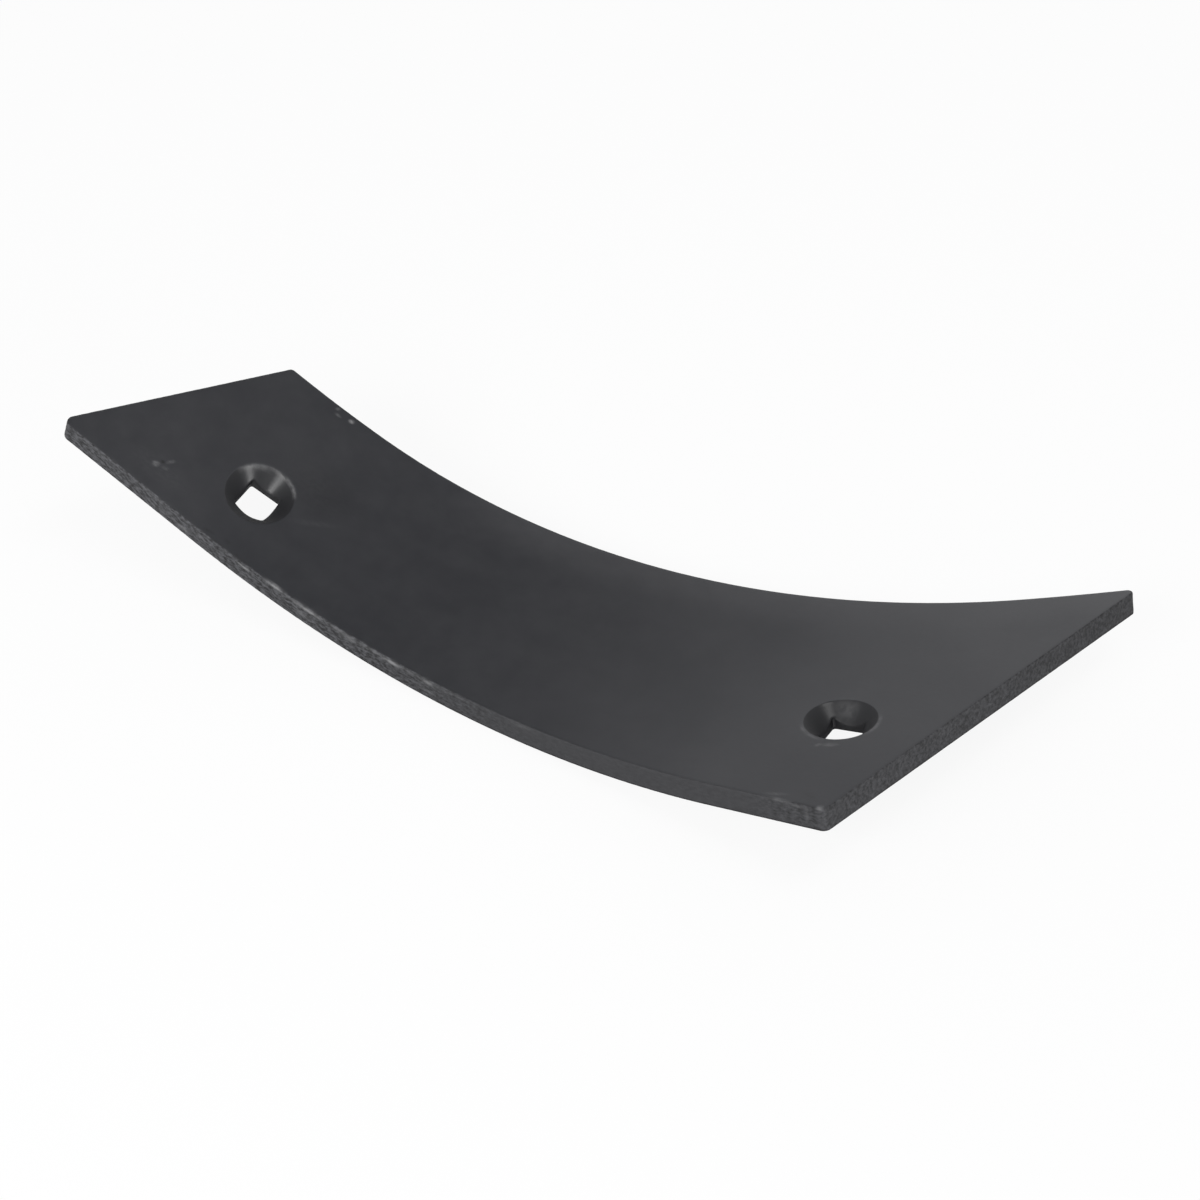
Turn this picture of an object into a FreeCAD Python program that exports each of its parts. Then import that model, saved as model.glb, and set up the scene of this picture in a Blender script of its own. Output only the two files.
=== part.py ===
import FreeCAD, Part
import math
import os

import Sketcher
from FreeCAD import Placement, Rotation, Vector

# Plough shin: one steel plate, cut flat with square edges and then bent hot.
# The blank has x along its straight front edge, from the narrow end to the wide
# end, and y inwards from that edge. Its sizes are taken on the concave face.
# On the bent plate the bend lines run along Y and the concave face looks up.

doc = FreeCAD.newDocument("PloughShin")

# Alias, value in millimetres or degrees, and what it measures.
SIZES = (
    ("plate_thickness", 9.0, "plate, the same all over"),
    ("inside_radius", 315.0, "bend radius on the concave face"),
    ("bend_angle", 39.0, "turn between the two flat ends"),
    ("bend_line_angle", 72.0, "from the front edge to the bend lines"),
    ("narrow_flat", 57.0, "across the bend lines, from the front corner to the bend"),
    ("front_edge", 333.0, "straight front edge of the blank"),
    ("narrow_end", 94.0, "length of the cut at the narrow end"),
    ("narrow_end_angle", 61.0, "from the front edge to the narrow end"),
    ("wide_end", 176.0, "length of the cut that butts against the share"),
    ("wide_end_angle", 77.5, "from the front edge, run on, to the wide end"),
    ("rear_edge_hollow", 24.0, "depth of the arc in the rear edge"),
    ("front_corner_radius", 3.0, "plan radius at both ends of the front edge"),
    ("rear_corner_radius", 2.0, "plan radius at both ends of the rear edge"),
    ("edge_radius", 0.5, "broken edge round both faces"),
    ("square_hole", 13.0, "across the flats, for a 12 mm plough bolt"),
    ("square_corner_radius", 1.0, "in the corners of the square"),
    ("square_turn", 4.0, "from the front edge to a side of the squares"),
    ("countersink", 26.0, "diameter on the concave face"),
    ("countersink_angle", 90.0, "included angle"),
    ("narrow_hole_along", 73.0, "from the narrow end's front corner"),
    ("narrow_hole_in", 28.5, "from the front edge"),
    ("wide_hole_back", 22.0, "from the wide end's front corner"),
    ("wide_hole_in", 52.5, "from the front edge"),
)

# Stock left outside the outline for the cuts to take off, in plate thicknesses.
SPARE = 2.0
# Points that carry a long edge of the blank round the bend.
EDGE_STATIONS = 49
# Two places nearer than this, in millimetres, are the same place.
SAME_PLACE = 0.01


def make_sheet():
    """Write the driving dimensions into a spreadsheet, one aliased cell each."""
    made = doc.addObject("Spreadsheet::Sheet", "Sizes")
    for row, (alias, value, meaning) in enumerate(SIZES, start=1):
        made.set(f"A{row}", alias)
        made.set(f"B{row}", str(value))
        made.setAlias(f"B{row}", alias)
        made.set(f"C{row}", meaning)
    doc.recompute()
    return made


sheet = make_sheet()


def size(alias):
    """Read one driving dimension from the sheet."""
    return float(getattr(sheet, alias))


THICKNESS = size("plate_thickness")
RADIUS = size("inside_radius")
BEND = math.radians(size("bend_angle"))
SKEW = math.radians(90.0 - size("bend_line_angle"))
FLAT = size("narrow_flat")
ALLOWANCE = SPARE * THICKNESS
BEND_CENTRE = Vector(0.0, 0.0, RADIUS + THICKNESS)


class BlankPoint:
    """A place on the flat blank, and where it lies across and along the bend lines."""

    def __init__(self, x, y):
        self.x = x
        self.y = y
        self.across = x * math.cos(SKEW) - y * math.sin(SKEW)
        self.along = x * math.sin(SKEW) + y * math.cos(SKEW)

    def moved(self, length, degrees):
        """The point a length away, at an angle to the front edge."""
        turn = math.radians(degrees)
        return BlankPoint(self.x + length * math.cos(turn), self.y + length * math.sin(turn))


def slope_at(across):
    """Slope of the section, in radians, from one flat end to the other."""
    return min(max((across - FLAT) / RADIUS, 0.0), BEND) - BEND / 2.0


def normal_at(across):
    """Direction square to the concave face, away from the plate."""
    slope = slope_at(across)
    return Vector(-math.sin(slope), 0.0, math.cos(slope))


def wrap(across, along, lift=0.0):
    """Carry a place on the blank to the bent plate, lifted off its concave face."""
    slope = slope_at(across)
    flat_run = across - FLAT - RADIUS * (slope + BEND / 2.0)
    out = normal_at(across)
    uphill = Vector(math.cos(slope), 0.0, math.sin(slope))
    on_face = BEND_CENTRE - out * RADIUS + uphill * flat_run
    return on_face + Vector(0.0, along, 0.0) + out * lift


def seat(point, degrees):
    """Frame on the concave face: Z square to it, X turned from the front edge."""
    out = normal_at(point.across)
    uphill = Vector(out.z, 0.0, -out.x)
    turn = math.radians(degrees) + SKEW
    forward = uphill * math.cos(turn) + Vector(0.0, math.sin(turn), 0.0)
    here = wrap(point.across, point.along)
    return Placement(here, Rotation(forward, out.cross(forward), out, "ZXY"))


NARROW_FRONT = BlankPoint(0.0, 0.0)
WIDE_FRONT = BlankPoint(size("front_edge"), 0.0)
NARROW_REAR = NARROW_FRONT.moved(size("narrow_end"), size("narrow_end_angle"))
WIDE_REAR = WIDE_FRONT.moved(size("wide_end"), size("wide_end_angle"))
NARROW_HOLE = BlankPoint(size("narrow_hole_along"), size("narrow_hole_in"))
WIDE_HOLE = BlankPoint(WIDE_FRONT.x - size("wide_hole_back"), size("wide_hole_in"))


def front_edge_along(across):
    """Where the straight front edge lies, at a distance across the bend lines."""
    return across * math.tan(SKEW)


def rear_edge_along(across):
    """Where the hollow rear edge lies: an arc through both rear corners."""
    chord_across = WIDE_REAR.across - NARROW_REAR.across
    chord_along = WIDE_REAR.along - NARROW_REAR.along
    half_chord = math.hypot(chord_across, chord_along) / 2.0
    hollow = size("rear_edge_hollow")
    arc_radius = (half_chord ** 2 + hollow ** 2) / (2.0 * hollow)
    stand_off = (arc_radius - hollow) / (2.0 * half_chord)
    centre_across = NARROW_REAR.across + chord_across / 2.0 - chord_along * stand_off
    centre_along = NARROW_REAR.along + chord_along / 2.0 + chord_across * stand_off
    return centre_along - math.sqrt(arc_radius ** 2 - (across - centre_across) ** 2)


def make_section(body):
    """Section across the bend lines: flat, arc and flat, one thickness all along."""
    sketch = body.newObject("Sketcher::SketchObject", "section")
    plane = next(origin for origin in body.Origin.OriginFeatures if origin.Role == "XZ_Plane")
    sketch.AttachmentSupport = [(plane, "")]
    sketch.MapMode = "FlatFace"
    sketch.AttachmentOffset = Placement(Vector(0.0, 0.0, ALLOWANCE), Rotation())

    half = BEND / 2.0
    outer_radius = RADIUS + THICKNESS
    narrow_run = FLAT + ALLOWANCE
    wide_run = WIDE_FRONT.across - FLAT - RADIUS * BEND + ALLOWANCE
    centre = Vector(0.0, outer_radius, 0.0)

    def place(radius, slope, run):
        """Point of the sketch, a run past the end of an arc."""
        out = Vector(math.sin(slope), -math.cos(slope), 0.0)
        uphill = Vector(math.cos(slope), math.sin(slope), 0.0)
        return centre + out * radius + uphill * run

    def line(first, second):
        return sketch.addGeometry(Part.LineSegment(first, second))

    def arc(radius):
        circle = Part.Circle(centre, Vector(0.0, 0.0, 1.0), radius)
        down = -math.pi / 2.0
        return sketch.addGeometry(Part.ArcOfCircle(circle, down - half, down + half))

    inner_narrow = line(place(RADIUS, -half, -narrow_run), place(RADIUS, -half, 0.0))
    inner_arc = arc(RADIUS)
    inner_wide = line(place(RADIUS, half, 0.0), place(RADIUS, half, wide_run))
    wide_cap = line(place(RADIUS, half, wide_run), place(outer_radius, half, wide_run))
    outer_wide = line(place(outer_radius, half, wide_run), place(outer_radius, half, 0.0))
    outer_arc = arc(outer_radius)
    outer_narrow = line(place(outer_radius, -half, 0.0), place(outer_radius, -half, -narrow_run))
    narrow_cap = line(place(outer_radius, -half, -narrow_run), place(RADIUS, -half, -narrow_run))

    start, end, middle = 1, 2, 3
    ground, origin, height_axis = -1, 1, -2

    def join(kind, *where):
        return sketch.addConstraint(Sketcher.Constraint(kind, *where))

    def drive(name, rule, kind, *where):
        sketch.renameConstraint(join(kind, *where), name)
        sketch.setExpression(f"Constraints.{name}", rule)

    join("Tangent", inner_narrow, end, inner_arc, start)
    join("Tangent", inner_arc, end, inner_wide, start)
    join("Coincident", inner_wide, end, wide_cap, start)
    join("Coincident", wide_cap, end, outer_wide, start)
    join("Tangent", outer_wide, end, outer_arc, end)
    join("Tangent", outer_arc, start, outer_narrow, start)
    join("Coincident", outer_narrow, end, narrow_cap, start)
    join("Coincident", narrow_cap, end, inner_narrow, start)
    join("Coincident", outer_arc, middle, inner_arc, middle)
    join("PointOnObject", inner_arc, middle, height_axis)
    join("Parallel", outer_wide, inner_wide)
    join("Parallel", outer_narrow, inner_narrow)
    join("Perpendicular", wide_cap, inner_wide)
    join("Perpendicular", narrow_cap, inner_narrow)

    outside = "Sizes.inside_radius + Sizes.plate_thickness"
    narrow_rule = f"Sizes.narrow_flat + {SPARE:g} * Sizes.plate_thickness"
    wide_rule = (
        "Sizes.front_edge * sin(Sizes.bend_line_angle * 1 deg) - Sizes.narrow_flat"
        " - Sizes.inside_radius * Sizes.bend_angle * pi / 180"
        f" + {SPARE:g} * Sizes.plate_thickness"
    )
    drive("inner_radius", "Sizes.inside_radius", "Radius", inner_arc, RADIUS)
    drive("outer_radius", outside, "Radius", outer_arc, outer_radius)
    drive("centre_height", outside, "DistanceY", ground, origin, inner_arc, middle, outer_radius)
    drive("narrow_slope", "-Sizes.bend_angle * 0.5 deg", "Angle", inner_narrow, -half)
    drive("wide_slope", "Sizes.bend_angle * 0.5 deg", "Angle", inner_wide, half)
    drive("narrow_run", narrow_rule, "Distance", inner_narrow, narrow_run)
    drive("wide_run", wide_rule, "Distance", inner_wide, wide_run)
    return sketch


def make_bent_strip():
    """Plate bent to the section, and longer and wider than the outline."""
    body = doc.addObject("PartDesign::Body", "bent_strip")
    section = make_section(body)
    doc.recompute()
    pad = body.newObject("PartDesign::Pad", "strip_width")
    pad.Profile = section
    pad.Reversed = True
    pad.setExpression(
        "Length",
        "Sizes.front_edge * cos(Sizes.bend_line_angle * 1 deg)"
        " + Sizes.wide_end * cos((Sizes.wide_end_angle - Sizes.bend_line_angle) * 1 deg)"
        f" + {2.0 * SPARE:g} * Sizes.plate_thickness",
    )
    doc.recompute()
    return body


def make_edge_cutter(name, edge_along, side):
    """Waste outside a long edge, with a wall that stays square to the bent plate."""
    first = -2.0 * ALLOWANCE
    last = WIDE_FRONT.across + 2.0 * ALLOWANCE
    shares = [station / (EDGE_STATIONS - 1) for station in range(EDGE_STATIONS)]
    stations = [first + (last - first) * share for share in shares]
    rims = []
    for lift in (-THICKNESS - ALLOWANCE, ALLOWANCE):
        rim = Part.BSplineCurve()
        places = [wrap(across, edge_along(across), lift) for across in stations]
        rim.interpolate(Points=places, Parameters=shares)
        rims.append(rim.toShape())
    wall = Part.makeRuledSurface(rims[0], rims[1])
    reach = WIDE_REAR.along + 4.0 * ALLOWANCE
    cutter = doc.addObject("Part::Feature", name)
    cutter.Shape = wall.extrude(Vector(0.0, side * reach, 0.0))
    return cutter


def make_end_cutter(name, corner, end_alias, angle_alias, side):
    """Waste outside a flat end, cut square through the plate."""
    cutter = doc.addObject("Part::Box", name)
    spare = f"{SPARE:g} * Sizes.plate_thickness"
    cutter.setExpression("Length", f"Sizes.{end_alias} + 4 * {spare}")
    cutter.setExpression("Width", f"Sizes.{end_alias} + {spare}")
    cutter.setExpression("Height", f"Sizes.plate_thickness + 2 * {spare}")
    width = size(end_alias) + ALLOWANCE
    shift = Vector(-2.0 * ALLOWANCE, min(0.0, side * width), -THICKNESS - ALLOWANCE)
    cutter.Placement = seat(corner, size(angle_alias)) * Placement(shift, Rotation())
    return cutter


def rounded(name, base, edge_numbers, alias):
    """Round some edges of a shape to a radius from the sheet."""
    fillet = doc.addObject("Part::Fillet", name)
    fillet.Base = base
    radius = size(alias)
    fillet.Edges = [(number, radius, radius) for number in edge_numbers]
    doc.recompute()
    return fillet


def corner_edge(shape, corner):
    """Number of the upright edge at a corner of the outline."""
    middle = Part.Vertex(wrap(corner.across, corner.along, -THICKNESS / 2.0))
    gaps = [edge.distToShape(middle)[0] for edge in shape.Edges]
    return gaps.index(min(gaps)) + 1


def middle_of(edge):
    """Point half way along an edge."""
    return edge.valueAt((edge.FirstParameter + edge.LastParameter) / 2.0)


def outline_edges(shape):
    """Edges where the cut walls meet the two faces of the plate."""
    bend_lines = (FLAT, FLAT + RADIUS * BEND)
    found = []
    for edge in shape.Edges:
        start, end = (edge.valueAt(at) for at in (edge.FirstParameter, edge.LastParameter))
        rise = end - start
        is_upright = edge.Length < 2.0 * THICKNESS and abs(rise.y) < THICKNESS / 4.0
        is_bend_line = any(
            edge.distToShape(Part.Vertex(wrap(line, end_along, lift)))[0] < SAME_PLACE
            for line in bend_lines
            for lift in (0.0, -THICKNESS)
            for end_along in (start.y, end.y)
        )
        if not is_upright and not is_bend_line:
            found.append(edge)
    return found


def make_outline(strip):
    """Trim the bent strip to the outline of the blank and round its corners."""
    cutters = [
        make_edge_cutter("front_waste", front_edge_along, -1.0),
        make_edge_cutter("rear_waste", rear_edge_along, 1.0),
        make_end_cutter("narrow_waste", NARROW_FRONT, "narrow_end", "narrow_end_angle", 1.0),
        make_end_cutter("wide_waste", WIDE_FRONT, "wide_end", "wide_end_angle", -1.0),
    ]
    trimmed = strip
    for cutter in cutters:
        cut = doc.addObject("Part::Cut", f"{cutter.Name}_off")
        cut.Base = trimmed
        cut.Tool = cutter
        doc.recompute()
        trimmed = cut
    fronts = [corner_edge(trimmed.Shape, corner) for corner in (NARROW_FRONT, WIDE_FRONT)]
    trimmed = rounded("front_corners", trimmed, fronts, "front_corner_radius")
    rears = [corner_edge(trimmed.Shape, corner) for corner in (NARROW_REAR, WIDE_REAR)]
    return rounded("rear_corners", trimmed, rears, "rear_corner_radius")


def make_bolt_hole(name, point):
    """Square hole for the neck of a plough bolt, countersunk for its head."""
    frame = seat(point, size("square_turn"))
    square = doc.addObject("Part::Box", f"{name}_square")
    square.setExpression("Length", "Sizes.square_hole")
    square.setExpression("Width", "Sizes.square_hole")
    square.setExpression("Height", f"(1 + 2 * {SPARE:g}) * Sizes.plate_thickness")
    half_square = size("square_hole") / 2.0
    shift = Vector(-half_square, -half_square, -THICKNESS - ALLOWANCE)
    square.Placement = frame * Placement(shift, Rotation())
    doc.recompute()
    out = normal_at(point.across)
    uprights = [
        number
        for number, edge in enumerate(square.Shape.Edges, start=1)
        if abs((edge.Vertexes[1].Point - edge.Vertexes[0].Point).dot(out)) > THICKNESS
    ]
    punch = rounded(f"{name}_punch", square, uprights, "square_corner_radius")

    slant = "tan(Sizes.countersink_angle / 2 * 1 deg)"
    sink_depth = f"(Sizes.countersink - Sizes.square_hole) / 2 / {slant}"
    sink = doc.addObject("Part::Cone", f"{name}_countersink")
    sink.setExpression("Radius1", "Sizes.square_hole / 2")
    sink.setExpression("Radius2", f"Sizes.countersink / 2 + Sizes.plate_thickness * {slant}")
    sink.setExpression("Height", f"{sink_depth} + Sizes.plate_thickness")
    doc.recompute()
    depth = sink.Height.Value - THICKNESS
    sink.Placement = frame * Placement(Vector(0.0, 0.0, -depth), Rotation())

    hole = doc.addObject("Part::Fuse", name)
    hole.Base = punch
    hole.Tool = sink
    doc.recompute()
    return hole


def rest_on_ground(plate):
    """Turn the plate about its bend centre until it balances, and centre it in plan."""
    below = plate.Shape.Solids[0].CenterOfMass - BEND_CENTRE
    roll = Rotation(Vector(0.0, 1.0, 0.0), math.degrees(math.atan2(below.x, -below.z)))
    balanced = Placement(Vector(), roll, BEND_CENTRE)
    balanced_shape = plate.Shape.copy()
    balanced_shape.Placement = balanced
    box = balanced_shape.optimalBoundingBox()
    to_origin = Placement(Vector(-box.Center.x, -box.Center.y, 0.0), Rotation())
    plate.Placement = to_origin * balanced


def make_pierced(outline):
    """Cut both bolt holes through the trimmed plate."""
    holes = doc.addObject("Part::Fuse", "bolt_holes")
    holes.Base = make_bolt_hole("narrow_hole", NARROW_HOLE)
    holes.Tool = make_bolt_hole("wide_hole", WIDE_HOLE)
    pierced = doc.addObject("Part::Cut", "pierced")
    pierced.Base = outline
    pierced.Tool = holes
    doc.recompute()
    return pierced


def make_shin_plate():
    """The whole shin: bent plate, trimmed outline, two bolt holes and broken edges."""
    outline = make_outline(make_bent_strip())
    pierced = make_pierced(outline)
    rims = [middle_of(edge) for edge in outline_edges(outline.Shape)]
    to_break = [
        number
        for number, edge in enumerate(pierced.Shape.Edges, start=1)
        if any(middle_of(edge).distanceToPoint(rim) < SAME_PLACE for rim in rims)
    ]
    plate = rounded("shin_plate", pierced, to_break, "edge_radius")
    plate.Label = "shin_plate"
    rest_on_ground(plate)
    doc.recompute()
    return plate


def check_and_export(parts):
    """Stop on any failed object or unsound solid, and then write one file a piece."""
    for made in doc.Objects:
        if "Invalid" in made.State or "Error" in made.State:
            raise RuntimeError(f"{made.Name} failed: {made.State}")
    for made in parts:
        if made.Shape.isNull() or not made.Shape.isValid() or len(made.Shape.Solids) != 1:
            raise RuntimeError(f"{made.Label} is not one sound solid")
    os.makedirs("parts", exist_ok=True)
    for made in parts:
        made.Shape.exportStep(f"parts/{made.Label}.step")
        box = made.Shape.optimalBoundingBox()
        reach = f"{box.XLength:.1f} x {box.YLength:.1f} x {box.ZLength:.1f} mm"
        print(made.Label, f"{made.Shape.Volume:.0f} mm3", reach)


check_and_export([make_shin_plate()])
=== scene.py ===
"""Plough shin: a tapered steel plate, bent on skewed lines, in satin black worn at its edges.

The plate is meshed flat, the way its blank is cut, and geometry nodes then roughen
its sheared edges and bend it. Lengths are in metres and angles in radians, unless a
name says otherwise. On the blank, x runs along the straight front edge from the
narrow end, y inwards from that edge, and z, called lift, off the concave face.
"""

import logging
import math
from dataclasses import dataclass, field, fields
from enum import Enum
from typing import Sequence, Union

import bpy
import numpy as np
from bpy.types import ID, Material, Mesh, Node, NodeTree, Object, World
from mathutils import Matrix, Vector
from mathutils.geometry import delaunay_2d_cdt


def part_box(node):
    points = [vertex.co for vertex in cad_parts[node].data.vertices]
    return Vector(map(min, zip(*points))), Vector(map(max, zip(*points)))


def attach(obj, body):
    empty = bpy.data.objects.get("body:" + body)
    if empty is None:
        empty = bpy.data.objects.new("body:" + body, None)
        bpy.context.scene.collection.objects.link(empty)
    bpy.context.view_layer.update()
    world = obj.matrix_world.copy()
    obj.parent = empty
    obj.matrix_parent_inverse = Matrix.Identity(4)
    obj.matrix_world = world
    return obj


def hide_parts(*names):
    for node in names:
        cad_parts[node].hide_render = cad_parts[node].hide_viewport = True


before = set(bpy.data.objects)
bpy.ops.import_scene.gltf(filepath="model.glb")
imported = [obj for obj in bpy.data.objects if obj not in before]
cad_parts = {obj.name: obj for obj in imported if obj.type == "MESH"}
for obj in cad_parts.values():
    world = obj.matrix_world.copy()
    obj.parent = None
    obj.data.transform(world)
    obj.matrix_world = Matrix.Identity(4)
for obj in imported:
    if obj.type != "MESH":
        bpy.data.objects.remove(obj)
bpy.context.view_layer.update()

logging.basicConfig(level=logging.INFO, format="%(message)s")
log = logging.getLogger("plough_shin")

Socket = bpy.types.NodeSocket
Colour = tuple[float, float, float, float]

MM = 0.001
RIGHT_ANGLE = math.pi / 2.0
CAD_NODE = "shin_plate"
BODY = "root"
WHITE: Colour = (1.0, 1.0, 1.0, 1.0)
NOISE_MIDDLE = 0.5
PLATEAU_POWER = 4  # of a fall-off that stays near 1 up to its spread
MERGE_GAP = 1e-7
INSIDE_THE_EDGES = 1  # what delaunay_2d_cdt keeps
SMOOTH_STEP = {"interpolation_type": "SMOOTHSTEP"}


class Value:
    """A number in a node tree, so that node maths reads as an expression."""

    def __init__(self, tree: "Tree", socket: Socket) -> None:
        """Remember the socket and the tree it is in."""
        self.tree = tree
        self.socket = socket

    def maths(self, operation: str, *sides: "Number") -> "Value":
        """Add one Math node with these inputs and give its result."""
        return self.tree.number("ShaderNodeMath", {"operation": operation}, dict(enumerate(sides)))

    def __add__(self, other: "Number") -> "Value":
        """Sum."""
        return self.maths("ADD", self, other)

    def __radd__(self, other: "Number") -> "Value":
        """Sum, from the right."""
        return self.maths("ADD", other, self)

    def __sub__(self, other: "Number") -> "Value":
        """Difference."""
        return self.maths("SUBTRACT", self, other)

    def __rsub__(self, other: "Number") -> "Value":
        """Difference, from the right."""
        return self.maths("SUBTRACT", other, self)

    def __mul__(self, other: "Number") -> "Value":
        """Product."""
        return self.maths("MULTIPLY", self, other)

    def __rmul__(self, other: "Number") -> "Value":
        """Product, from the right."""
        return self.maths("MULTIPLY", other, self)

    def __truediv__(self, other: "Number") -> "Value":
        """Quotient."""
        return self.maths("DIVIDE", self, other)

    def __rtruediv__(self, other: "Number") -> "Value":
        """Quotient, from the right."""
        return self.maths("DIVIDE", other, self)

    def largest(self, other: "Number") -> "Value":
        """The larger of two numbers."""
        return self.maths("MAXIMUM", self, other)

    def smallest(self, other: "Number") -> "Value":
        """The smaller of two numbers."""
        return self.maths("MINIMUM", self, other)

    def root(self) -> "Value":
        """Square root."""
        return self.maths("SQRT", self)

    def sine(self) -> "Value":
        """Sine of an angle."""
        return self.maths("SINE", self)

    def cosine(self) -> "Value":
        """Cosine of an angle."""
        return self.maths("COSINE", self)


Number = Union[float, Value]


class Tree:
    """One node tree, with a single way of adding a node to it."""

    def __init__(self, tree: NodeTree) -> None:
        """Take over a tree."""
        self.tree = tree

    def add(
        self, kind: str, settings: dict | None = None, sockets: dict | None = None
    ) -> Node:
        """Add a node, set its settings and then fill its sockets.

        Args:
            kind: The node's type.
            settings: Its own settings by name.
            sockets: Values or links by input name or number.

        Returns:
            The node.
        """
        made = self.tree.nodes.new(kind)
        for name, setting in (settings or {}).items():
            setattr(made, name, setting)
        for key, value in (sockets or {}).items():
            source = value.socket if isinstance(value, Value) else value
            if isinstance(source, Socket):
                self.tree.links.new(source, made.inputs[key])
            else:
                made.inputs[key].default_value = source
        return made

    def number(
        self, kind: str, settings: dict | None = None, sockets: dict | None = None
    ) -> Value:
        """Add a node in the same way and give its first output as a number."""
        return Value(self, self.add(kind, settings, sockets).outputs[0])

    def parts(self, vector: Socket) -> tuple[Value, Value, Value]:
        """Split a vector into its three numbers."""
        made = self.add("ShaderNodeSeparateXYZ", sockets={0: vector})
        return tuple(Value(self, output) for output in made.outputs)

    def vector(self, x: Number, y: Number, z: Number) -> Socket:
        """Join three numbers into a vector."""
        return self.add("ShaderNodeCombineXYZ", sockets={0: x, 1: y, 2: z}).outputs[0]

    def vector_maths(self, operation: str, sockets: dict[int, object]) -> Socket:
        """Add one Vector Math node, with its sockets by number, and give its vector."""
        return self.add("ShaderNodeVectorMath", {"operation": operation}, sockets).outputs[0]

    def blend(self, share: Number, low: object, high: object) -> Socket:
        """Mix two colours: low where the share is 0 and high where it is 1."""
        settings = {"data_type": "RGBA", "clamp_factor": True}
        return self.add("ShaderNodeMix", settings, {0: share, 6: low, 7: high}).outputs[2]


@dataclass(frozen=True)
class Ramp:
    """A number that follows another one in a soft step between a start and an end."""

    start: float
    end: float
    before: float = 0.0
    after: float = 1.0

    def at(self, level: Value) -> Value:
        """The number where the one that it follows has this level."""
        sockets = dict(enumerate((level, self.start, self.end, self.before, self.after)))
        return level.tree.number("ShaderNodeMapRange", SMOOTH_STEP, sockets)


@dataclass(frozen=True)
class Grain:
    """A noise: rough size of a blotch, octaves of finer noise on it, and their strength."""

    size: float
    detail: float = 3.0
    rough: float = 0.5

    def over(self, tree: Tree, place: Socket) -> Value:
        """The noise over a surface, from 0 to 1, with its pattern read at a place."""
        sockets = {"Scale": 1.0 / self.size, "Detail": self.detail, "Roughness": self.rough}
        return tree.number("ShaderNodeTexNoise", sockets={"Vector": place, **sockets})


class Corner(Enum):
    """The four corners of the blank, by end and side."""

    NARROW_FRONT = "narrow front"
    WIDE_FRONT = "wide front"
    WIDE_REAR = "wide rear"
    NARROW_REAR = "narrow rear"


class Tone(Enum):
    """What a mark does to the finish."""

    RUBBED = "rubbed light"
    SOOTY = "soot_and_shade"


@dataclass(frozen=True)
class Mark:
    """A small light or dark mark on the concave face."""

    x: float
    y: float
    length: float
    width: float
    degrees: float
    strength: float
    tone: Tone

    def share(self, x: Value, y: Value) -> Value:
        """How much of the mark shows at a point of the face.

        Args:
            x: Place along the front edge.
            y: Place inwards from it.

        Returns:
            Its strength in the middle, and less towards its edge.
        """
        swing = math.radians(self.degrees)
        away_x, away_y = x - self.x, y - self.y
        run = (away_x * math.cos(swing) + away_y * math.sin(swing)) / self.length
        side = (away_y * math.cos(swing) - away_x * math.sin(swing)) / self.width
        return Ramp(0.0, 1.0, self.strength, 0.0).at((run * run + side * side).root())


@dataclass(frozen=True)
class Nick:
    """A small dent in the rim of the front edge."""

    along: float
    length: float
    depth: float

    def depth_at(self, along: float) -> float:
        """How deep the dent is at a place along the edge."""
        return self.depth * math.exp(-((along - self.along) / self.length) ** 2)


@dataclass(frozen=True)
class EdgeWear:
    """A patch on the front edge, rubbed light, or dark where the strength is less than 0."""

    along: float
    lift: float
    length: float
    height: float
    strength: float
    falloff: float = 2.8

    def share(self, along: float, lift: float) -> float:
        """How much of the patch shows at a point of the edge."""
        run, rise = (along - self.along) / self.length, (lift - self.lift) / self.height
        return self.strength * math.exp(-self.falloff * (run ** 2 + rise ** 2))


@dataclass(frozen=True)
class HoleHighlight:
    """An arc of a hole's rim or of its cone painted light: a painted highlight where they catch the
    lamps, partly a light burr on the rim, with its angles in degrees.
    """

    bearing: float
    spread: float
    outset: float
    strength: float
    reach: float = 0.55 * MM

    def share(self, offset: Vector, rim: float) -> float:
        """How much of the arc shows.

        Args:
            offset: The point, from the middle of the hole.
            rim: Radius of the countersink.

        Returns:
            Its strength in the middle, and less away from there.
        """
        turn = degrees_apart(offset, self.bearing) / self.spread
        beyond = (offset.length - rim - self.outset) / self.reach
        return self.strength * math.exp(-(turn ** PLATEAU_POWER) - beyond ** 2)


@dataclass(frozen=True)
class Polish:
    """A strip down the cone of a hole that is smoother than the rest, in degrees."""

    bearing: float
    spread: float
    strength: float = 1.0

    def share(self, offset: Vector) -> float:
        """How smooth the cone is at an offset from the hole's middle."""
        turn = degrees_apart(offset, self.bearing) / self.spread
        return self.strength * math.exp(-(turn ** PLATEAU_POWER))


def degrees_apart(offset: Vector, bearing: float) -> float:
    """Degrees from a bearing to the direction of an offset, the short way round."""
    return math.remainder(math.degrees(math.atan2(offset.y, offset.x)) - bearing, 360.0)


def turned(vector: Vector, angle: float) -> Vector:
    """A flat vector turned anticlockwise."""
    cosine, sine = math.cos(angle), math.sin(angle)
    return Vector((vector.x * cosine - vector.y * sine, vector.x * sine + vector.y * cosine))


def heading(angle: float) -> Vector:
    """Unit vector on the blank, at an angle to the front edge."""
    return turned(Vector((1.0, 0.0)), angle)


def raised(place: Vector, lift: float) -> Vector:
    """A place of the blank, at a height off its concave face."""
    return Vector((place.x, place.y, lift))


@dataclass(frozen=True)
class RimPoint:
    """A point of an outline and the direction into the plate there."""

    place: Vector
    inward: Vector

    def inset(self, depth: float) -> Vector:
        """The point moved into the plate."""
        return self.place + self.inward * depth


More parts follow.
